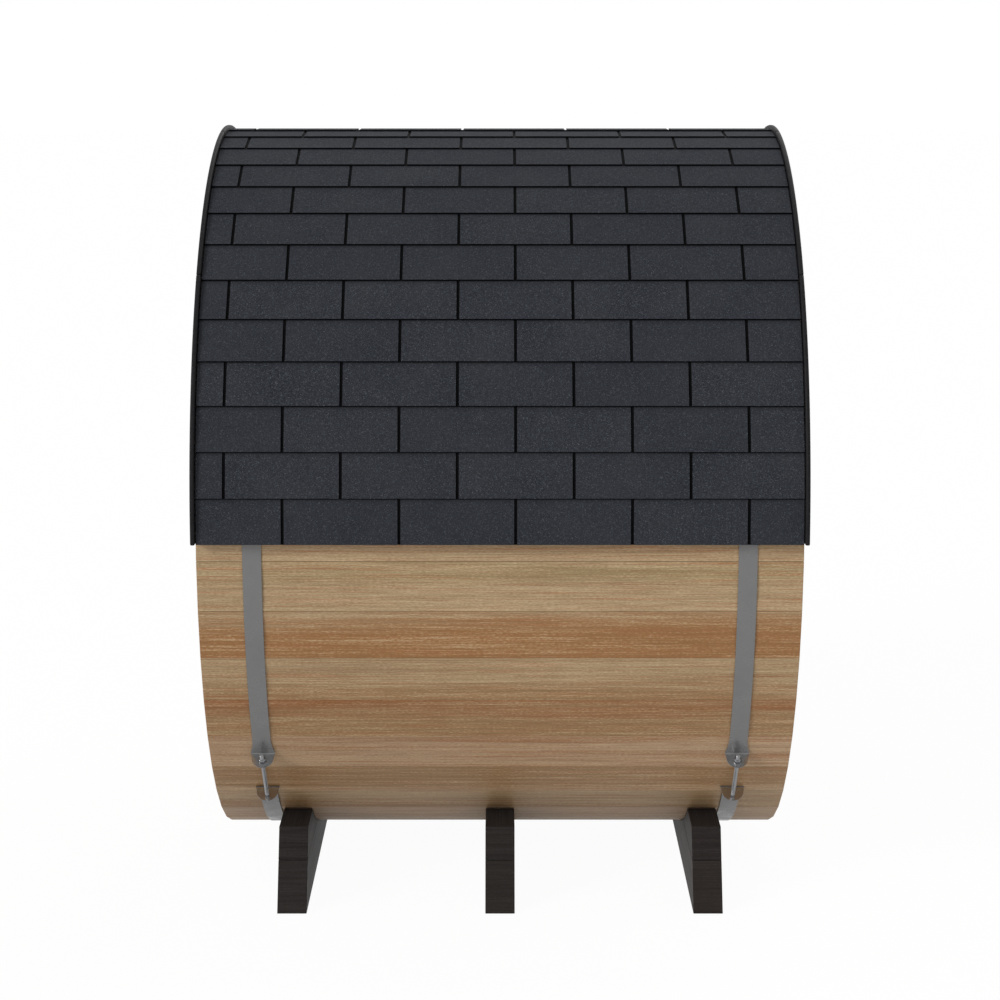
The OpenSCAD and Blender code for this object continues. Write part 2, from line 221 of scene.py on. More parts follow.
class Shader:
    """A material's node tree, with short calls for the nodes in use."""

    def __init__(self, name):
        self.material = bpy.data.materials.new(name)
        self.material.use_nodes = True
        self.tree = self.material.node_tree
        self.surface = self.tree.nodes["Principled BSDF"]

    def feed(self, socket, value):
        if isinstance(value, bpy.types.NodeSocket):
            self.tree.links.new(value, socket)
        else:
            socket.default_value = value

    def node(self, kind, inputs, **settings):
        made = self.tree.nodes.new(kind)
        for key, value in settings.items():
            setattr(made, key, value)
        for socket, value in inputs.items():
            self.feed(made.inputs[socket], value)
        return made

    def set(self, **values):
        for name, value in values.items():
            self.feed(self.surface.inputs[name.replace("_", " ")], value)

    def grain_place(self):
        return self.node("ShaderNodeUVMap", {}, uv_map="grain").outputs[0]

    def object_place(self):
        return self.node("ShaderNodeTexCoord", {}).outputs["Object"]

    def stretched(self, place, factors):
        return self.node("ShaderNodeMapping", {"Vector": place, "Scale": factors}).outputs[0]

    def noise(self, place, scale, detail=3.0, roughness=0.55, distortion=0.0):
        return self.node("ShaderNodeTexNoise", {
            "Vector": place, "Scale": scale, "Detail": detail,
            "Roughness": roughness, "Distortion": distortion,
        }).outputs["Fac"]

    def cells(self, place, scale, output="Color"):
        return self.node("ShaderNodeTexVoronoi", {"Vector": place, "Scale": scale}).outputs[output]

    def attribute(self, name):
        return self.node("ShaderNodeAttribute", {}, attribute_name=name).outputs["Fac"]

    def ramp(self, factor, stops):
        made = self.node("ShaderNodeValToRGB", {"Fac": factor})
        elements = made.color_ramp.elements
        while len(elements) < len(stops):
            elements.new(0.5)
        for element, (position, colour) in zip(elements, stops):
            element.position = position
            element.color = colour
        return made.outputs["Color"]

    def levels(self, value, low, high, to_low=0.0, to_high=1.0):
        return self.node("ShaderNodeMapRange", {
            "Value": value, "From Min": low, "From Max": high, "To Min": to_low, "To Max": to_high,
        }).outputs[0]

    def mix(self, factor, first, second, blend="MIX"):
        """Mixes two colours; the node's sockets for colours are inputs 6 and 7 and output 2."""
        made = self.node("ShaderNodeMix", {}, data_type="RGBA", blend_type=blend)
        for index, value in ((0, factor), (6, first), (7, second)):
            self.feed(made.inputs[index], value)
        return made.outputs[2]

    def math(self, operation, first, second):
        return self.node("ShaderNodeMath", {0: first, 1: second}, operation=operation).outputs[0]

    def weighed(self, *parts):
        """The sum of the given values, each times its share."""
        total = 0.0
        for value, share in parts:
            total = self.math("ADD", total, self.math("MULTIPLY", value, share))
        return total

    def bump(self, height, strength, distance):
        made = self.node("ShaderNodeBump", {
            "Height": height, "Strength": strength, "Distance": distance,
        })
        self.feed(self.surface.inputs["Normal"], made.outputs[0])


def wood(name, tones, grain, gloss, shine=0.35):
    """Long-grain wood: each board has its main tone and streaks of its second one, mostly at one edge.

    grain holds the colours of the reddish veins, the pale dashes and the dark dashes.
    """
    red, pale, dark = grain
    made = Shader(name)
    place = made.grain_place()
    ramp_stops = list(zip(ALL_TONES, tones))
    main = made.ramp(made.attribute("tone_a"), ramp_stops)
    second = made.ramp(made.attribute("tone_b"), ramp_stops)
    broad = made.noise(made.stretched(place, (0.5, 17, 1)), 1.0, 3, 0.6, 0.3)
    broad = made.math("ADD", broad, made.math("MULTIPLY", made.attribute("edge"), 0.2))
    veins = made.noise(made.stretched(place, (1.8, 150, 1)), 1.0, 4, 0.7, 0.3)
    lines = made.noise(made.stretched(place, (3.5, 290, 1)), 1.0, 3, 0.6)
    dashes = made.noise(made.stretched(place, (14, 330, 1)), 1.0, 3, 0.65)
    ticks = made.noise(made.stretched(place, (100, 340, 1)), 1.0, 2, 0.6)
    bands = made.noise(made.stretched(place, (1.2, 60, 1)), 1.0, 3, 0.6)
    fine = made.weighed((bands, 0.22), (lines, 0.26), (dashes, 0.24), (ticks, 0.28))
    colour = made.mix(made.levels(broad, 0.48, 0.70), main, second)
    colour = made.mix(made.levels(veins, 0.50, 0.68, 0.0, 0.75), colour, red)
    colour = made.mix(made.levels(fine, 0.50, 0.68, 0.0, 0.95), colour, dark)
    colour = made.mix(made.levels(fine, 0.50, 0.32, 0.0, 0.95), colour, pale)
    made.set(
        Base_Color=colour,
        Roughness=made.levels(lines, 0.3, 0.75, gloss, gloss + 0.18),
        Specular_IOR_Level=shine,
    )
    made.bump(fine, 0.25, 0.0006)
    return made.material


def end_grain(name, light, dark):
    """Sawn ends: year rings and fine pores."""
    made = Shader(name)
    place = made.grain_place()
    rings = made.node("ShaderNodeTexWave", {
        "Vector": made.stretched(place, (1, 0.7, 1)), "Scale": 120.0, "Distortion": 4.0,
        "Detail": 3.0, "Detail Scale": 0.5,
    }, wave_type="RINGS").outputs["Fac"]
    pores = made.noise(place, 900, 2, 0.6)
    clouds = made.noise(place, 30, 3, 0.6)
    colour = made.mix(made.levels(rings, 0.1, 0.9, 0.0, 0.55), light, dark)
    colour = made.mix(made.levels(clouds, 0.4, 0.7, 0.0, 0.5), colour, dark)
    colour = made.mix(made.levels(pores, 0.5, 0.7, 0.0, 0.5), colour, dark, "MULTIPLY")
    made.set(Base_Color=colour, Roughness=made.levels(pores, 0.3, 0.7, 0.7, 0.85))
    made.bump(made.math("ADD", rings, pores), 0.2, 0.0005)
    return made.material


def shingle_face():
    """Mineral granules in bitumen: grey grains of several tints, with painted shade under the next
    course.
    """
    made = Shader("shingle_granules_and_painted_shade")
    place = made.object_place()
    grains = made.cells(place, 620)
    grit = made.node("ShaderNodeSeparateColor", {"Color": grains})
    tint = made.ramp(grit.outputs[0], [
        (0.0, paint(22, 24, 30)), (0.45, paint(43, 45, 50)), (0.75, paint(50, 53, 58)),
        (0.93, paint(61, 66, 71)), (1.0, paint(94, 98, 103)),
    ])
    clusters = made.noise(place, 160, 3, 0.65)
    wear = made.noise(place, 7, 3, 0.6)
    colour = made.mix(made.levels(clusters, 0.35, 0.65, 0.0, 0.55), tint, paint(36, 38, 44))
    colour = made.mix(made.levels(wear, 0.3, 0.7, 0.0, 0.25), colour, paint(62, 63, 66))
    tone = made.attribute("tone_a")
    colour = made.mix(made.levels(tone, 0.0, 1.0, 0.0, 0.3), colour, paint(40, 42, 48))
    # Painted shade: each tab darkens towards its head, where the next course's butt shades it, and ends
    # in a near-black painted shadow line.
    head = made.attribute("edge")
    colour = made.mix(made.levels(head, 0.76, 1.0, 0.0, 0.45), colour, paint(24, 25, 29))
    colour = made.mix(made.levels(head, 0.93, 0.985, 0.0, 0.8), colour, paint(12, 12, 14))
    made.set(
        Base_Color=colour, Roughness=made.levels(clusters, 0.3, 0.7, 0.82, 0.95),
        Specular_IOR_Level=0.1,
    )
    bumps = made.cells(place, 620, "Distance")
    made.bump(made.math("ADD", bumps, clusters), 0.5, 0.0008)
    return made.material


def dark_matte(name, colour, speck, scale, roughness, shine):
    """Black bitumen edges and rubbery mouldings: a fine mottle over a dark base."""
    made = Shader(name)
    place = made.object_place()
    mottle = made.noise(place, scale, 4, 0.65)
    fine = made.noise(place, scale * 9, 2, 0.6)
    made.set(
        Base_Color=made.mix(made.levels(mottle, 0.35, 0.7), colour, speck),
        Roughness=made.levels(fine, 0.3, 0.7, roughness - 0.08, roughness + 0.08),
        Specular_IOR_Level=shine,
    )
    made.bump(made.math("ADD", mottle, fine), 0.18, 0.0004)
    return made.material


def steel(name, colour, dull, brush, roughness, metallic, rim):
    """Rolled or plated steel: faint brushing, cloudy dull patches and fine scratches."""
    made = Shader(name)
    place = made.object_place()
    lines = made.noise(made.stretched(place, brush), 1.0, 4, 0.6)
    patches = made.noise(place, 18, 4, 0.65)
    tint = made.mix(made.levels(patches, 0.35, 0.7, 0.0, 0.8), colour, dull)
    tint = made.mix(made.levels(lines, 0.45, 0.75, 0.0, 0.4), tint, dull)
    made.set(
        Base_Color=tint,
        Roughness=made.levels(patches, 0.3, 0.7, roughness - 0.06, roughness + 0.1),
        Metallic=metallic,
        Specular_IOR_Level=0.2,
        Specular_Tint=rim,
    )
    made.bump(lines, 0.1, 0.0003)
    return made.material


def tinted_glass():
    """Bronze-tinted pane with the faint film that handling leaves."""
    made = Shader("bronze_glass")
    film = made.noise(made.object_place(), 5, 3, 0.6)
    made.set(
        Base_Color=made.mix(made.levels(film, 0.3, 0.7), paint(214, 200, 182), paint(209, 194, 175)),
        Roughness=made.levels(film, 0.4, 0.7, 0.01, 0.04),
        Transmission_Weight=1.0,
        IOR=1.5,
    )
    return made.material


# Tones in the order straw, tan, olive, rose, amber, rust, umber, ash
CEDAR = (
    paint(155, 132, 100), paint(152, 128, 96), paint(139, 120, 84), paint(153, 128, 101),
    paint(137, 96, 55), paint(132, 84, 45), paint(137, 107, 72), paint(159, 132, 103),
)
PALE_CEDAR = (
    paint(190, 166, 129), paint(184, 157, 121), paint(178, 154, 116), paint(185, 154, 122),
    paint(180, 142, 103), paint(176, 134, 95), paint(174, 145, 112), paint(182, 158, 128),
)
STAIN = (
    paint(39, 36, 35), paint(37, 34, 33), paint(38, 35, 33), paint(36, 32, 31),
    paint(40, 35, 33), paint(35, 31, 30), paint(33, 30, 29), paint(39, 36, 35),
)
CEDAR_GRAIN = (paint(150, 98, 60), paint(196, 174, 138), paint(108, 78, 50))
PALE_GRAIN = (paint(166, 118, 80), paint(208, 186, 150), paint(132, 100, 70))
STAIN_GRAIN = (paint(34, 28, 26), paint(52, 48, 46), paint(22, 19, 18))
# How fine the brushing of the steels is along X, Y and Z
ROLLED = (40, 40, 900)
DRAWN = (300, 300, 900)

stave_wood = wood("stave_cedar", CEDAR, CEDAR_GRAIN, 0.5)
stave_ends = end_grain("stave_end_grain", paint(178, 142, 104), paint(128, 88, 58))
wall_wood = wood("wall_cedar", PALE_CEDAR, PALE_GRAIN, 0.5)
wall_ends = end_grain("wall_end_grain", paint(184, 150, 112), paint(136, 98, 66))
door_wood = wood("door_cedar", CEDAR, CEDAR_GRAIN, 0.42)
deck_wood = wood("deck_softwood", PALE_CEDAR, PALE_GRAIN, 0.6)
cradle_wood = wood("cradle_stain", STAIN, STAIN_GRAIN, 0.55, 0.15)
cradle_ends = wood("cradle_end_stain", STAIN, STAIN_GRAIN, 0.65, 0.1)
granules = shingle_face()
# Bitumen for cut edges, felt and the shingle strip's face; its near-black is partly painted shade,
# deepening the tab slots and butt lines.
bitumen = dark_matte("bitumen_edge_and_slot_shade", paint(4, 4, 5), paint(9, 9, 10), 90, 0.8, 0.05)
moulding = dark_matte("edge_moulding", paint(22, 21, 23), paint(31, 29, 31), 60, 0.55, 0.1)
band_steel = steel("rolled_steel", grey(116), grey(112), ROLLED, 0.28, 0.4, grey(205))
ear_steel = steel("polished_ear", grey(194), grey(186), ROLLED, 0.14, 1.0, grey(225))
rod_steel = steel(
    "drawn_steel", paint(142, 143, 145), paint(128, 129, 132), DRAWN, 0.3, 0.5, grey(225))
bright_steel = steel(
    "zinc_steel", paint(136, 137, 139), paint(122, 123, 126), DRAWN, 0.25, 1.0, grey(225))
glass = tinted_glass()


def polar(radius, degrees):
    """A point in the plane across the barrel, from its axis."""
    angle = math.radians(degrees)
    return Vector((0, radius * math.cos(angle), radius * math.sin(angle)))


def axes(origin, first, second, third):
    """The placing whose own axes lie along the three given directions."""
    made = Matrix.Identity(4)
    for column, direction in enumerate((first, second, third, origin)):
        for row in range(3):
            made[row][column] = direction[row]
    return made


def round_axis(degrees):
    """A placing on the barrel's axis: round the barrel, outwards, along it."""
    outward = polar(1, degrees)
    return axes(Vector((0, 0, AXIS_Z)), X_AXIS.cross(outward), outward, X_AXIS)


def end_on(x=0.0, y=0.0, z=0.0):
    """A placing for outlines across the barrel: to the far side, upwards, along it."""
    return axes(Vector((x, y, z)), Y_AXIS, Z_AXIS, X_AXIS)


def eased(outline, radius, steps=2):
    """Rounds the corners of an outline."""
    rounded = []
    for index, corner in enumerate(outline):
        corner = Vector(corner)
        back = Vector(outline[index - 1]) - corner
        ahead = Vector(outline[(index + 1) % len(outline)]) - corner
        reach = min(radius, MOST_EASED * back.length, MOST_EASED * ahead.length)
        start = corner + back.normalized() * reach
        end = corner + ahead.normalized() * reach
        for step in range(steps + 1):
            t = step / steps
            rounded.append(tuple(start * (1 - t) ** 2 + corner * 2 * t * (1 - t) + end * t * t))
    return rounded


def inset(outline, depth):
    """Moves a counter-clockwise outline inwards by the same distance all round."""
    points = np.array(outline)
    ahead = np.roll(points, -1, axis=0) - points
    ahead /= np.linalg.norm(ahead, axis=1, keepdims=True)
    normal = np.stack((-ahead[:, 1], ahead[:, 0]), axis=1)
    before = np.roll(normal, 1, axis=0)
    share = depth / (1 + np.sum(normal * before, axis=1, keepdims=True))
    return [tuple(point) for point in points + (normal + before) * share]


def block(width, height, y=0.0, z=0.0):
    """A rectangle's outline by its middle."""
    w, h = width / 2, height / 2
    return [(y - w, z - h), (y + w, z - h), (y + w, z + h), (y - w, z + h)]


def skin(first, count, rings):
    """Faces over rings of count points each, from point number first; both ends are closed."""
    last = first + (rings - 1) * count
    faces = [list(range(first, first + count))[::-1], list(range(last, last + count))]
    for base in range(first, last, count):
        for i in range(count):
            j = (i + 1) % count
            faces.append([base + i, base + j, base + count + j, base + count + i])
    return faces


class Boards:
    """Gathers boards in one mesh, each with its own grain direction, tones and grain shift."""

    def __init__(self, name, seed):
        self.name = name
        self.draw = random.Random(seed)
        self.points = []
        self.edges = []
        self.faces = []
        self.boards = []

    def add(self, outline, low, high, place, grain, ends=None, tones=None, ease=BOARD_EASE, steps=2,
            grooves=()):
        """Lays a board with this outline from low to high along the placing's third axis."""
        rings = self.rings(outline, low, high, ease, steps, grooves)
        faces = skin(len(self.points), len(outline), len(rings))
        if place.determinant() < 0:
            faces = [face[::-1] for face in faces]
        tones = tones or tuple(self.draw.choice(row) for row in (ALL_TONES, ALL_TONES, ALL_SLANTS))
        widest = max(abs(p) for p, _ in outline)
        for ring, level in rings:
            self.points += [place @ Vector((p, q, level)) for p, q in ring]
            self.edges += [tones[2] * p / widest for p, _ in ring]
        start = len(self.faces)
        self.faces += faces
        shift = (self.draw.uniform(0, GRAIN_FIELD), self.draw.uniform(0, GRAIN_FIELD))
        self.boards.append((start, len(self.faces), grain, ends or (grain,), tones, shift))

    @staticmethod
    def rings(outline, low, high, ease, steps, grooves):
        """The outlines along a board: eased ends, and grooves as (from, to, cut outline)."""
        turns = [math.radians(90 * step / steps) for step in range(steps + 1)]
        easing = [(ease * (1 - math.sin(turn)), ease * (1 - math.cos(turn))) for turn in turns]
        made = [(inset(outline, depth), low + up) for depth, up in easing]
        for start, end, cut in grooves:
            made += [(outline, start), (cut, start), (cut, end), (outline, end)]
        return made + [(inset(outline, depth), high - up) for depth, up in easing[::-1]]

    def build(self, side, end, slot, *nodes):
        """Makes the piece, which stands for the given nodes."""
        mesh = bpy.data.meshes.new(self.name)
        mesh.from_pydata(self.points, [], self.faces)
        mesh.materials.append(side)
        mesh.materials.append(end)
        places = mesh.uv_layers.new(name="grain").data
        tone_a = mesh.attributes.new("tone_a", "FLOAT", "FACE").data
        tone_b = mesh.attributes.new("tone_b", "FLOAT", "FACE").data
        mesh.attributes.new("edge", "FLOAT", "POINT").data.foreach_set("value", self.edges)
        for start, stop, grain, ends, tones, shift in self.boards:
            for face in mesh.polygons[start:stop]:
                along = grain
                if any(abs(face.normal.dot(axis)) > END_FACING for axis in ends):
                    face.material_index = 1
                if abs(face.normal.dot(grain)) > END_FACING:
                    along = X_AXIS if abs(grain.x) < 0.5 else Y_AXIS
                across = along.cross(face.normal).normalized()
                tone_a[face.index].value, tone_b[face.index].value = tones[:2]
                for corner in face.loop_indices:
                    point = mesh.vertices[mesh.loops[corner].vertex_index].co
                    places[corner].uv = (point.dot(along) + shift[0], point.dot(across) + shift[1])
        settle(self.name, mesh, nodes)


def settle(name, mesh, nodes):
    """Puts a finished mesh in the scene, on the body, in place of the given nodes."""
    weld(mesh)
    piece = bpy.data.objects.new(name, mesh)
    bpy.context.scene.collection.objects.link(piece)
    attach(piece, BODY)
    if nodes:
        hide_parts(*nodes)


def weld(mesh):
    """Joins points that coincide, drops faces without area and turns the rest outwards."""
    made = bmesh.new()
    made.from_mesh(mesh)
    bmesh.ops.remove_doubles(made, verts=made.verts, dist=WELD_DIST)
    bmesh.ops.recalc_face_normals(made, faces=made.faces)
    made.to_mesh(mesh)
    made.free()


class Turned:
    """Gathers forms that are skinned over rings, such as rods, straps and mouldings, in one mesh."""

    def __init__(self, name):
        self.name = name
        self.points = []
        self.faces = []
        self.finishes = []

    def add(self, rings, place, second=()):
        """Skins a row of rings, each a list of (p, q, level) points.

        The faces that second names, as (band, side), take the second material.
        """
        count = len(rings[0])
        self.faces += skin(len(self.points), count, len(rings))
        for ring in rings:
            self.points += [place @ Vector(point) for point in ring]
        self.finishes += [0, 0]
        for band in range(len(rings) - 1):
            self.finishes += [int((band, side) in second) for side in range(count)]

    def spin(self, profile, place, steps=32):
        """Turns a profile of (radius, level) points round the placing's third axis."""
        turns = [2 * math.pi * i / steps for i in range(steps)]
        circle = [(math.cos(turn), math.sin(turn)) for turn in turns]
        rings = [[(radius * p, radius * q, level) for p, q in circle] for radius, level in profile]
        self.add(rings, place)

    def build(self, materials, slot, *nodes):
        """Makes the piece, which stands for the given nodes."""
        mesh = bpy.data.meshes.new(self.name)
        mesh.from_pydata(self.points, [], self.faces)
        for material in materials:
            mesh.materials.append(material)
        mesh.polygons.foreach_set("material_index", self.finishes)
        mesh.shade_smooth()
        mesh.set_sharp_from_angle(angle=math.radians(SHARP_ANGLE))
        settle(self.name, mesh, nodes)


def staves():
    """Mitred boards round the barrel, grooved inside for the end walls."""
    half_pitch = math.radians(STAVE_PITCH / 2)
    gap = STAVE_GAP / 2 / math.cos(half_pitch)

    def half_width(radius):
        return radius * math.tan(half_pitch) - gap

    def section(inner_r):
        outer, inner = half_width(FLAT_R), half_width(inner_r)
        corners = [(-inner, inner_r), (inner, inner_r), (outer, FLAT_R), (-outer, FLAT_R)]
        return eased(corners, STAVE_EASE)

    plain = section(INNER_R)
    cut = section(INNER_R + CROZE_D)
    reach = WALL_T / 2 + CROZE_FIT
    grooves = [(x - reach, x + reach, cut) for x in (-WALL_X, WALL_X)]
    for group, node in enumerate(STAVE_GROUPS):
        boards = Boards(node.replace("staves", "stave_boards"), seed=group + 10)
        first = round(group * STAVE_COUNT / len(STAVE_GROUPS))
        last = round((group + 1) * STAVE_COUNT / len(STAVE_GROUPS))
        for index in range(first, last):
            place = round_axis(FIRST_JOINT + (index + 0.5) * STAVE_PITCH)
            seen = (index + 1) % STAVE_COUNT
            tones = NEAR_TONES[seen] if seen < len(NEAR_TONES) else None
            boards.add(plain, -BARREL_L / 2, BARREL_L / 2, place, X_AXIS,
                       tones=tones, ease=STAVE_EASE, grooves=grooves)
        boards.build(stave_wood, stave_ends, "stave_wood", node)


def course_places():
    """Placings of the courses by side: up the slope, outwards, along the barrel."""
    for course in range(SIDE_COURSES):
        turn = EAVE + (course + 0.5) * COURSE_PITCH
        yield "far", course, round_axis(turn)
        outward = polar(1, 180 - turn)
        uphill = outward.cross(X_AXIS)
        yield "near", course, axes(Vector((0, 0, AXIS_Z)), uphill, outward, X_AXIS)


def roof_boards():
    """The boarded deck under the shingles, with felt on its outer faces."""
    half = math.tan(math.radians(COURSE_PITCH / 2))
    outer, inner = DECK_OUT_R * half - SEAT / 2, DECK_IN_R * half - SEAT / 2
    corners = [(-inner, DECK_IN_R), (inner, DECK_IN_R), (outer, DECK_OUT_R), (-outer, DECK_OUT_R)]
    outline = eased(corners, FINE_EASE)
    decks = {side: Boards(f"{side}_deck_boards", seed=30) for side in ("far", "near")}
    for side, _, place in course_places():
        outward = place.to_3x3() @ Y_AXIS
        decks[side].add(outline, -DECK_L / 2, DECK_L / 2, place, X_AXIS, (outward,), ease=FINE_EASE)
    for side, deck in decks.items():
        deck.build(deck_wood, bitumen, "deck_wood", f"{side}_roof_boards")
    ridge = Boards("ridge_deck_board", seed=31)
    ridge.add(outline, -DECK_L / 2, DECK_L / 2, round_axis(90), X_AXIS, (Z_AXIS,), ease=FINE_EASE)
    ridge.build(deck_wood, bitumen, "deck_wood", "ridge_board")


def tab_spans(row):
    """The tabs of a row between the trims: half a tab over from the row below."""
    half = SHINGLE_L / 2
    phase = TAB_PHASE + (row % 2) * TAB_PITCH / 2
    slots = [phase + k * TAB_PITCH for k in range(-4, 5)]
    inner = [slot for slot in slots if abs(slot) < half - NARROWEST]
    cuts = [-half - TAB_SLOT / 2, *inner, half + TAB_SLOT / 2]
    for low, high in zip(cuts, cuts[1:]):
        yield low + TAB_SLOT / 2, high - TAB_SLOT / 2


def shingles():
    """Courses of separate tabs over an unbroken strip that shows in the slots, its face near-black
    bitumen as painted shade.
    """
    foot, head = -BOARD_HALF, BOARD_HALF
    base, rise = DECK_OUT_R, COURSE_RISE
    top = base + 2 * rise
    strip = [(foot, base + SEAT), (head, base + SEAT), (head, base + STRIP_HEAD), (foot, base + rise)]
    tab = eased([
        (foot, base + rise + SEAT), (head, base + STRIP_HEAD + SEAT), (head, base + rise), (foot, top),
    ], TAB_EASE)
    sides = {side: Boards(f"{side}_shingle_tabs", seed=40) for side in ("far", "near")}
    for side, row, place in course_places():
        uphill = place.to_3x3() @ X_AXIS
        outward = place.to_3x3() @ Y_AXIS
        # The strip's outward face takes the black bitumen too, which paints the shade in the tab slots.
        sides[side].add(strip, -SHINGLE_L / 2, SHINGLE_L / 2, place, X_AXIS,
                        (X_AXIS, uphill, outward), ease=STRIP_EASE)
        for low, high in tab_spans(row):
            tone = sides[side].draw.random()
            # The 1 runs each tab's edge value from foot to head, which places the painted shade under
            # the next course.
            sides[side].add(tab, low, high, place, X_AXIS, (X_AXIS, uphill), (tone, tone, 1), TAB_EASE)
    for side, tabs in sides.items():
        tabs.build(granules, bitumen, "shingle", f"{side}_shingles")
    cap = Boards("ridge_shingle_tabs", seed=42)
    under = base + rise + SEAT
    outline = eased([(foot, under), (head, under), (head, top), (foot, top)], TAB_EASE)
    for low, high in tab_spans(SIDE_COURSES):
        tone = cap.draw.random()
        cap.add(outline, low, high, round_axis(90), X_AXIS, (X_AXIS, Y_AXIS), (tone, tone, 0), TAB_EASE)
    cap.build(granules, bitumen, "shingle", "ridge_cap")


def roof_trims():
    """Round-backed edge mouldings in five lengths, whose eased ends show at the joints."""
    first, second = EAVE + TRIM_PIECE, EAVE + 2 * TRIM_PIECE
    cuts = [EAVE, first, second, 180 - second, 180 - first, 180 - EAVE]
    for end in ("left", "right"):
        lo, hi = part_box(f"{end}_roof_trim")
        top_r = hi.z - AXIS_Z
        centre = Vector(((lo.x + hi.x) / 2, 0, AXIS_Z))
        section = block(hi.x - lo.x, top_r - DECK_IN_R, 0, (top_r + DECK_IN_R) / 2)
        section = eased(section, TRIM_ROUND, 6)
        gap, ease = (math.degrees(length / top_r) for length in (SEAT, TRIM_EASE))
        mould = Turned(f"{end}_edge_moulding")
        for low, high in zip(cuts, cuts[1:]):
            low, high = low + gap, high - gap
            steps = round(high - low)
            run = high - low - 2 * ease
            body = [(low + ease + run * step / steps, 0.0) for step in range(steps + 1)]
            lead = [(low, TRIM_EASE), (low + 0.3 * ease, 0.3 * TRIM_EASE)]
            tail = [(low + high - turn, depth) for turn, depth in lead[::-1]]
            mould.add([
                [centre + X_AXIS * p + polar(radius, turn) for p, radius in inset(section, depth)]
                for turn, depth in lead + body + tail
            ], Matrix.Identity(4))
        mould.build([moulding], "roof_trim", f"{end}_roof_trim")


def strap_end(side):
    """Middle line of a strap's end in the tensioner's plane, from the ear's tip to the barrel.

    Each row is (outwards, along the rod, normal outwards, normal along, half width).
    """
    round_r = BAND_OUT_R + EAR_H - EAR_W / 2
    base_r = BAND_OUT_R - BAND_T
    along = EAR_FACE + BAND_T + EAR_BEND
    centre_r = BAND_OUT_R + EAR_BEND
    turn = math.asin(along / centre_r)
    bend_x = centre_r * math.cos(turn)
    rows = []
    for step in range(EAR_ROWS + 1):
        rise = math.cos(math.radians(90 * step / EAR_ROWS))
        half = max(EAR_W / 2 * math.sin(math.radians(90 * step / EAR_ROWS)), STRAP_EDGE)
        rows.append((round_r + EAR_W / 2 * rise, side * (EAR_FACE + BAND_T / 2), 0, side, half))
    foot_share = (round_r - bend_x) / (round_r - base_r)
    half = EAR_W / 2 + (EAR_FOOT - EAR_W) / 2 * foot_share
    for step in range(BEND_ROWS + 1):
        swing = (math.pi / 2 - turn) * step / BEND_ROWS
        away = (-math.sin(swing), -side * math.cos(swing))
        reach = EAR_BEND + BAND_T / 2
        wide = half + (EAR_FOOT / 2 - half) * step / BEND_ROWS
        rows.append((bend_x + reach * away[0], side * along + reach * away[1], -away[0], -away[1], wide))
    return rows, math.degrees(turn)


def strap_rings(x, side):
    """Rings of a strap from one ear round the barrel to the other; side is -1 above, 1 below."""
    outward = polar(1, EAR_TURN)
    along = X_AXIS.cross(outward)
    rows, turn = strap_end(side)
    near = [(outward * a + along * b, outward * c + along * d, half) for a, b, c, d, half in rows]
    start = EAR_TURN + side * turn
    stop = 540 - start if side > 0 else 180 - start
    middle_r = BAND_OUT_R - BAND_T / 2
    flare = math.degrees(STRAP_FLARE_L / middle_r)
    arc = []
    for step in range(1, STRAP_ROWS):
        angle = start + (stop - start) * step / STRAP_ROWS
        share = max(0.0, 1 - min(abs(angle - start), abs(stop - angle)) / flare)
        half = BAND_W / 2 + (EAR_FOOT - BAND_W) / 2 * share * share * (3 - 2 * share)
        arc.append((polar(middle_r, angle), polar(1, angle), half))
    mirrored = Matrix.Diagonal((1, -1, 1))
    far = [(mirrored @ point, mirrored @ normal, half) for point, normal, half in near[::-1]]
    thick, edge = BAND_T / 2, STRAP_EDGE
    section = [(-1, -edge, -thick), (1, -edge, -thick), (1, 0, edge - thick), (1, 0, thick - edge),
               (1, -edge, thick), (-1, -edge, thick), (-1, 0, thick - edge), (-1, 0, edge - thick)]
    centre = Vector((x, 0, AXIS_Z))
    rings = []
    for point, normal, half in near + arc + far:
        rings.append([
            centre + point + X_AXIS * sign * (half + inward) + normal * level
            for sign, inward, level in section
        ])
    return rings


def straps():
    """Steel straps that widen into the bent ears which the tension rods pass through."""
    for x, end in ((-WALL_X, "left"), (WALL_X, "right")):
        for side, level in ((-1, "upper"), (1, "lower")):
            strap = Turned(f"{end}_{level}_band")
            rings = strap_rings(x, side)
            ears = (*range(EAR_ROWS + 1), *range(len(rings) - EAR_ROWS - 2, len(rings) - 1))
            polished = {(band, face) for band in ears for face in BROAD_FACES}
            strap.add(rings, Matrix.Identity(4), polished)
            strap.build([band_steel, ear_steel], "band_steel", f"{end}_{level}_strap")


def tensioner_places():
    """Middles of the four tension rods: outwards, along the barrel, along the rod."""
    for x in (-WALL_X, WALL_X):
        for turn in (EAR_TURN, 180 - EAR_TURN):
            outward = polar(1, turn)
            middle = Vector((x, 0, AXIS_Z)) + outward * EAR_HOLE_R
            yield axes(middle, outward, X_AXIS, outward.cross(X_AXIS))


def threaded_rings():
    """Rings of a rod with a smooth shank, threaded ends and chamfered tips."""
    around, per_turn = 18, 4
    shank = ROD_HALF - THREAD_L
    count = round(THREAD_L / THREAD_PITCH * per_turn)
    plain_end = 0.98 * shank
    levels = [plain_end] + [shank + THREAD_L * step / count for step in range(count + 1)]
    rings = []
    for level in [-level for level in levels[::-1]] + levels:
        tip = min(1.0, (ROD_HALF - abs(level)) / ROD_TIP_L)
        depth = THREAD_DEPTH * min(1.0, max(0.0, (abs(level) - shank) / THREAD_PITCH))
        ring = []
        for i in range(around):
            phase = (level / THREAD_PITCH - i / around) % 1.0
            radius = ROD_R - depth * (1 - abs(2 * phase - 1)) - ROD_TIP_IN * (1 - tip)
            turn = 2 * math.pi * i / around
            ring.append((radius * math.cos(turn), radius * math.sin(turn), level))
        rings.append(ring)
    return rings


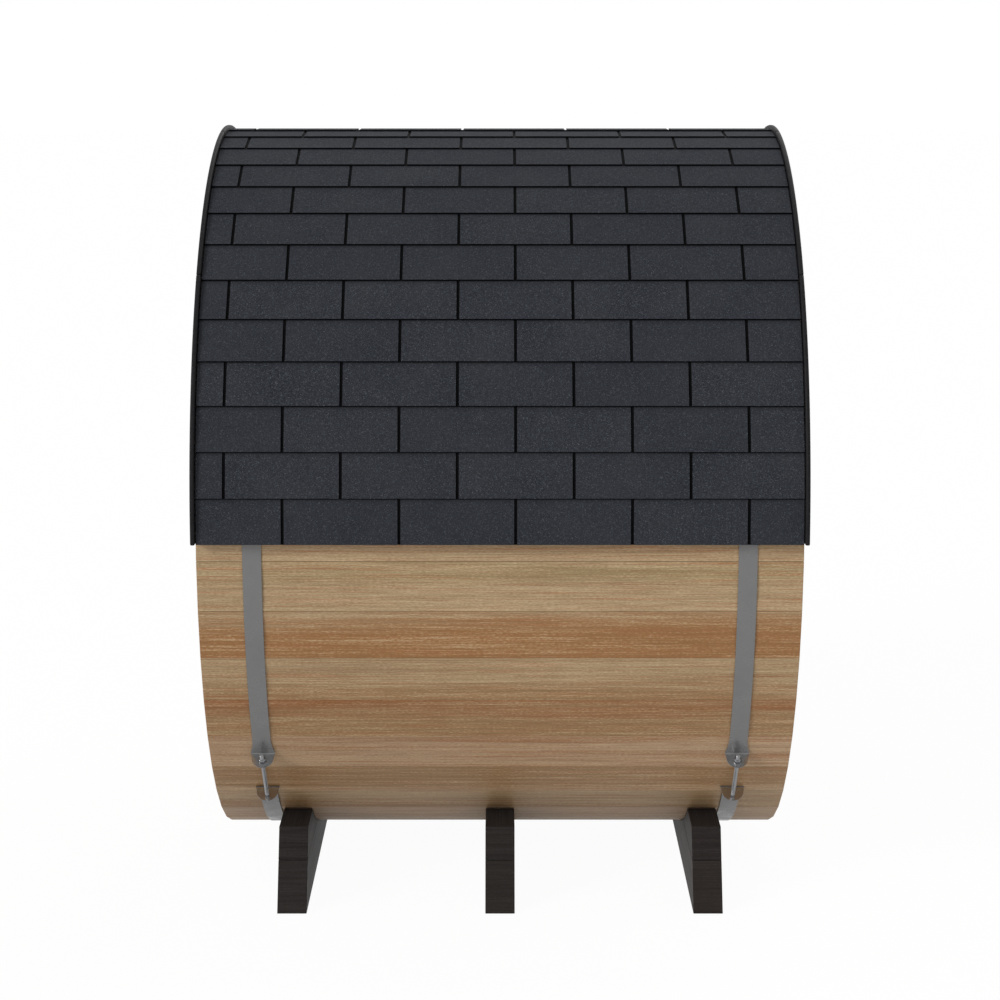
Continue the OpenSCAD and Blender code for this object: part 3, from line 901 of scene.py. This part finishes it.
def nut_rings():
    """Rings of a hexagon nut whose corners are chamfered at both faces."""
    steps = 48
    rings = []
    for face, level, sign in ((True, 0.0, 1), (False, 0.0, 1), (False, NUT_H, -1), (True, NUT_H, -1)):
        ring = []
        for i in range(steps):
            turn = 360 * i / steps
            corner = NUT_FLATS / 2 / math.cos(math.radians((turn + 30) % 60 - 30))
            radius = NUT_FACE_R if face else corner
            drop = 0.0 if face else (corner - NUT_FACE_R) * NUT_SLOPE
            point = math.radians(turn)
            ring.append((radius * math.cos(point), radius * math.sin(point), level + sign * drop))
        rings.append(ring)
    return rings


def tensioners():
    """Threaded rods through the straps' ears, with a washer and a nut at each end."""
    rods, nuts, washers = Turned("threaded_rods"), Turned("hexagon_nuts"), Turned("plain_washers")
    rim = WASHER_R - WASHER_EASE
    washer = [
        (WASHER_HOLE_R, 0.0), (rim, 0.0), (WASHER_R, WASHER_EASE),
        (WASHER_R, WASHER_T - WASHER_EASE), (rim, WASHER_T), (WASHER_HOLE_R, WASHER_T),
    ]
    thread = threaded_rings()
    nut = nut_rings()
    for place in tensioner_places():
        rods.add(thread, place)
        for end in (-1, 1):
            side = place @ Matrix.Diagonal((1, end, end, 1))
            nuts.add(nut, side @ Matrix.Translation((0, 0, NUT_FROM)))
            washers.spin(washer, side @ Matrix.Translation((0, 0, WASHER_FROM)))
    rods.build([rod_steel], "bright_steel", "tension_rods")
    nuts.build([bright_steel], "bright_steel", "tension_nuts")
    washers.build([bright_steel], "bright_steel", "tension_washers")


def cradles():
    """Dark-stained saddle timbers: a lower beam and two blocks on each."""
    saddle_r = CORNER_R + SEAT
    side = CRADLE_T / 2

    def half_width(z):
        return CRADLE_BASE_HALF + (CRADLE_TOP_HALF - CRADLE_BASE_HALF) * z / CRADLE_H

    def saddle_y(z):
        return math.sqrt(saddle_r ** 2 - (AXIS_Z - z) ** 2)

    def saddle(from_y, to_y, steps):
        points = []
        for step in range(steps + 1):
            y = from_y + (to_y - from_y) * step / steps
            points.append((y, AXIS_Z - math.sqrt(saddle_r ** 2 - y ** 2)))
        return points

    for seed, name in enumerate(("left", "middle", "right")):
        lo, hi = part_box(f"{name}_cradle_beam")
        top = hi.z
        place = end_on((lo.x + hi.x) / 2)
        beam = Boards(f"{name}_saddle_beam", seed=50 + seed)
        outline = [(-half_width(0), 0), (half_width(0), 0), (half_width(top), top)]
        outline += saddle(saddle_y(top), -saddle_y(top), 40) + [(-half_width(top), top)]
        beam.add(eased(outline, FINE_EASE), -side, side, place, Y_AXIS, ease=FINE_EASE)
        beam.build(cradle_wood, cradle_ends, "cradle_wood", f"{name}_cradle_beam")
        blocks = Boards(f"{name}_saddle_blocks", seed=54 + seed)
        low = top + CRADLE_JOINT
        arc = saddle(saddle_y(CRADLE_H), saddle_y(low), 8)
        far = [(half_width(low), low), (half_width(CRADLE_H), CRADLE_H)] + arc
        near = [(-y, z) for y, z in far[::-1]]
        for outline in (far, near):
            blocks.add(eased(outline, FINE_EASE), -side, side, place, Y_AXIS, ease=FINE_EASE)
        blocks.build(cradle_wood, cradle_ends, "cradle_wood", f"{name}_cradle_blocks")


def wall_outline(low_y, high_y, low_z=None, high_z=None):
    """A wall board across the barrel, with its free ends cut to the barrel's round."""
    radius = INNER_R + CROZE_D - CROZE_FIT
    steps = 6
    ys = [low_y + (high_y - low_y) * step / steps for step in range(steps + 1)]

    def chord(y):
        return math.sqrt(max(radius ** 2 - y ** 2, 0.0))

    lower = [(y, -chord(y)) for y in ys]
    upper = [(y, chord(y)) for y in ys[::-1]]
    if low_z is not None:
        lower = [(low_y, low_z), (high_y, low_z)]
    if high_z is not None:
        upper = [(high_y, high_z), (low_y, high_z)]
    return lower + upper


def wall_spans(low, high, edge):
    """Board edges from low to high, at whole board widths from an edge."""
    joints = [edge + k * WALL_BOARD_W for k in range(-24, 25)]
    cuts = [low, *[joint for joint in joints if low + NARROWEST < joint < high - NARROWEST], high]
    return zip(cuts, cuts[1:])


def end_walls():
    """Upright boards with eased edges, let into the staves."""
    reach = INNER_R + CROZE_D - WALL_EDGE_FIT
    half_door = DOORWAY_W / 2
    foot_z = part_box("door_wall_foot")[1].z - AXIS_Z
    head_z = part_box("door_wall_head")[0].z - AXIS_Z
    parts = (
        ("back_wall", -WALL_X, -reach, reach, None, None),
        ("door_wall_near", WALL_X, -reach, -half_door, None, None),
        ("door_wall_far", WALL_X, half_door, reach, None, None),
        ("door_wall_head", WALL_X, -half_door + SEAT, half_door - SEAT, head_z, None),
        ("door_wall_foot", WALL_X, -half_door + SEAT, half_door - SEAT, None, foot_z),
    )
    for seed, (node, x, low, high, low_z, high_z) in enumerate(parts):
        place = end_on(x, 0.0, AXIS_Z)
        boards = Boards(f"{node}_boards", seed=60 + seed)
        for low_y, high_y in wall_spans(low, high, half_door):
            outline = wall_outline(low_y + WALL_JOINT / 2, high_y - WALL_JOINT / 2, low_z, high_z)
            boards.add(outline, -WALL_T / 2, WALL_T / 2, place, Z_AXIS, ease=WALL_EASE, steps=1)
        boards.build(wall_wood, wall_ends, "wall_wood", node)


def rect_boards(name, seed, rows, low_x, high_x, ease):
    """Upright and level boards of the door end, as (outline, grain)."""
    made = Boards(name, seed)
    for outline, grain in rows:
        made.add(eased(outline, ease), low_x, high_x, end_on(), grain, ease=ease)
    return made


def ring_rows(lo, hi, side_w, foot_h, head_h):
    """Two uprights and two level members between them, filling a box."""
    middle_z = (lo.z + hi.z) / 2
    inner = hi.y - lo.y - 2 * side_w - 2 * SEAT
    upright_ys = (lo.y + side_w / 2, hi.y - side_w / 2)
    rows = [(block(side_w, hi.z - lo.z, y, middle_z), Z_AXIS) for y in upright_ys]
    rows.append((block(inner, foot_h, 0, lo.z + foot_h / 2), Y_AXIS))
    rows.append((block(inner, head_h, 0, hi.z - head_h / 2), Y_AXIS))
    return rows


def door():
    """Frame, stile-and-rail leaf, hinges with screws, and a rounded pull."""
    lo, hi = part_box("door_frame")
    rows = ring_rows(lo, hi, FRAME_W, FRAME_W, FRAME_W)
    casing = rect_boards("door_casing", 70, rows, lo.x, hi.x, BOARD_EASE)
    casing.build(door_wood, wall_ends, "door_wood", "door_frame")
    lo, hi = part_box("door_leaf")
    rows = ring_rows(lo, hi, STILE_W, FOOT_RAIL_H, STILE_W)
    leaf = rect_boards("door_stiles_and_rails", 71, rows, lo.x, hi.x, LEAF_EASE)
    leaf.build(door_wood, wall_ends, "door_wood", "door_leaf")
    hinges()
    lo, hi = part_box("door_pull_bar")
    width, length = hi.y - lo.y, hi.z - lo.z
    bar = Boards("rounded_pull", seed=72)
    outline = block(width, length, (lo.y + hi.y) / 2, (lo.z + hi.z) / 2)
    outline = eased(outline, PULL_ROUND * width, 8)
    bar.add(outline, lo.x, hi.x, end_on(), Z_AXIS, ease=PULL_EASE, steps=5)
    bar.build(door_wood, wall_ends, "door_wood", "door_pull_bar")
    lo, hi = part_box("door_pull_posts")
    radius = (hi.y - lo.y) / 2
    posts = Boards("pull_posts", seed=73)
    circle = [tuple(polar(radius, 15 * i).yz) for i in range(24)]
    for z in (lo.z + radius, hi.z - radius):
        posts.add(circle, lo.x, hi.x, end_on(0.0, (lo.y + hi.y) / 2, z), X_AXIS, ease=FINE_EASE)
    posts.build(door_wood, wall_ends, "door_wood", "door_pull_posts")


def hinges():
    """Two butt hinges: plates with countersunk screws, and knuckles in three lengths."""
    lo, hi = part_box("door_hinges")
    middle_y = (lo.y + hi.y) / 2
    reach = (hi.y - lo.y) / 2
    width = reach - PLATE_GAP / 2
    third = HINGE_H / 3
    plates = Boards("hinge_plates", seed=74)
    turned = Turned("hinge_knuckles_and_screws")
    for z in (lo.z + HINGE_H / 2, hi.z - HINGE_H / 2):
        place = end_on(lo.x, middle_y, z)
        for side in (-1, 1):
            outline = eased(block(width, HINGE_H, side * (reach + PLATE_GAP / 2) / 2, 0), PLATE_ROUND, 4)
            plates.add(outline, 0, HINGE_T, place, Z_AXIS, ease=PLATE_EASE)
            for up in (-SCREW_PITCH, 0.0, SCREW_PITCH):
                spot = (side * SCREW_OUT, up + side * SCREW_STAGGER, HINGE_T - SCREW_SINK)
                turned.spin(SCREW_HEAD, place @ Matrix.Translation(spot), 20)
        pin = axes(Vector((lo.x + HINGE_T, middle_y, z)), X_AXIS, Y_AXIS, Z_AXIS)
        for part in (-1, 0, 1):
            low = (part - 0.5) * third + KNUCKLE_GAP / 2
            high = (part + 0.5) * third - KNUCKLE_GAP / 2
            turned.spin([
                (KNUCKLE_R - KNUCKLE_EASE, low), (KNUCKLE_R, low + KNUCKLE_EASE),
                (KNUCKLE_R, high - KNUCKLE_EASE), (KNUCKLE_R - KNUCKLE_EASE, high),
            ], pin, 28)
    plates.build(bright_steel, bright_steel, "bright_steel", "door_hinges")
    turned.build([bright_steel], "bright_steel")


def floor_boards():
    """Slats on three bearers that fill the round under them."""
    lo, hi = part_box("floor_slats")
    width = (hi.y - lo.y - (SLAT_COUNT - 1) * SLAT_GAP) / SLAT_COUNT
    slats = Boards("floor_boards", seed=80)
    for index in range(SLAT_COUNT):
        y = lo.y + width / 2 + index * (width + SLAT_GAP)
        outline = block(width, hi.z - lo.z, y, (lo.z + hi.z) / 2)
        slats.add(eased(outline, BOARD_EASE), lo.x, hi.x, end_on(), X_AXIS)
    slats.build(wall_wood, wall_ends, "wall_wood", "floor_slats")
    lo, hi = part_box("floor_bearers")
    top = hi.z - AXIS_Z
    radius = INNER_R - SEAT
    half = math.sqrt(radius ** 2 - top ** 2)
    arc = [-half + 2 * half * step / 24 for step in range(25)]
    outline = [(y, AXIS_Z - math.sqrt(radius ** 2 - y ** 2)) for y in arc]
    bearers = Boards("round_bearers", seed=81)
    for x in (lo.x, (lo.x + hi.x - BEARER_T) / 2, hi.x - BEARER_T):
        bearers.add(outline, x, x + BEARER_T, end_on(), Y_AXIS, ease=FINE_EASE, steps=1)
    bearers.build(wall_wood, wall_ends, "wall_wood", "floor_bearers")


def dress_glass():
    """The frame's own pane shows as it is."""
    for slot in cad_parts["door_glass"].material_slots:
        slot.material = glass


def shown_share(tree):
    """1 for the rays that look at a backdrop or mirror it, 0 for those that light the object."""
    path = tree.nodes.new("ShaderNodeLightPath")
    total = path.outputs["Is Camera Ray"]
    for name in ("Is Glossy Ray", "Is Transmission Ray"):
        most = tree.nodes.new("ShaderNodeMath")
        most.operation = "MAXIMUM"
        tree.links.new(total, most.inputs[0])
        tree.links.new(path.outputs[name], most.inputs[1])
        total = most.outputs[0]
    return total


def show_over(tree, share, usual, shown, output):
    """Puts out the shown shader for the given share of rays, and the usual one for the rest."""
    mix = tree.nodes.new("ShaderNodeMixShader")
    tree.links.new(share, mix.inputs[0])
    tree.links.new(usual.outputs[0], mix.inputs[1])
    tree.links.new(shown.outputs[0], mix.inputs[2])
    tree.links.new(mix.outputs[0], tree.nodes[output].inputs["Surface"])


def white_world():
    """White where it shows, and soft light from all round."""
    world = bpy.data.worlds.new("studio")
    bpy.context.scene.world = world
    world.use_nodes = True
    tree = world.node_tree
    light = tree.nodes["Background"]
    light.inputs["Color"].default_value = WHITE
    light.inputs["Strength"].default_value = AMBIENT
    shown = tree.nodes.new("ShaderNodeBackground")
    shown.inputs["Color"].default_value = WHITE
    shown.inputs["Strength"].default_value = 1.0
    show_over(tree, shown_share(tree), light, shown, "World Output")


def pale_floor():
    """White ground that keeps a soft trace of the object's shadow."""
    corners = [(x, y, 0) for x, y in block(2 * FLOOR_HALF, 2 * FLOOR_HALF)]
    mesh = bpy.data.meshes.new("floor")
    mesh.from_pydata(corners, [], [(0, 1, 2, 3)])
    material = bpy.data.materials.new("floor_white")
    material.use_nodes = True
    tree = material.node_tree
    tree.nodes.remove(tree.nodes["Principled BSDF"])
    matte = tree.nodes.new("ShaderNodeBsdfDiffuse")
    matte.inputs["Color"].default_value = FLOOR_MATTE
    shown = tree.nodes.new("ShaderNodeEmission")
    shown.inputs["Color"].default_value = WHITE
    shown.inputs["Strength"].default_value = 1.0
    share = tree.nodes.new("ShaderNodeMath")
    share.operation = "MULTIPLY"
    share.inputs[1].default_value = FLOOR_GLOW
    tree.links.new(shown_share(tree), share.inputs[0])
    show_over(tree, share.outputs[0], matte, shown, "Material Output")
    mesh.materials.append(material)
    floor = bpy.data.objects.new("floor", mesh)
    floor.location.z = -FLOOR_DROP
    bpy.context.scene.collection.objects.link(floor)


def soft_sun(name, towards, strength, angle):
    """An even light from a round patch of sky in the given direction."""
    data = bpy.data.lights.new(name, "SUN")
    data.angle = math.radians(angle)
    data.energy = strength
    lamp = bpy.data.objects.new(name, data)
    lamp.rotation_euler = Vector(towards).to_track_quat("Z", "Y").to_euler()
    bpy.context.scene.collection.objects.link(lamp)


def studio():
    """Plain soft light on a white ground."""
    white_world()
    pale_floor()
    for sun in SUNS:
        soft_sun(*sun)


def camera():
    """The photograph's viewpoint: square on to the near side, a little above it."""
    data = bpy.data.cameras.new("camera")
    data.sensor_width = SENSOR_W
    data.lens = LENS
    eye = bpy.data.objects.new("camera", data)
    eye.location = EYE
    eye.rotation_euler = (math.radians(90 - EYE_DIP), 0, 0)
    bpy.context.scene.collection.objects.link(eye)
    bpy.context.scene.camera = eye


camera()
staves()
roof_boards()
shingles()
roof_trims()
straps()
tensioners()
cradles()
end_walls()
door()
floor_boards()
dress_glass()
studio()
bpy.context.scene.view_settings.view_transform = "Standard"
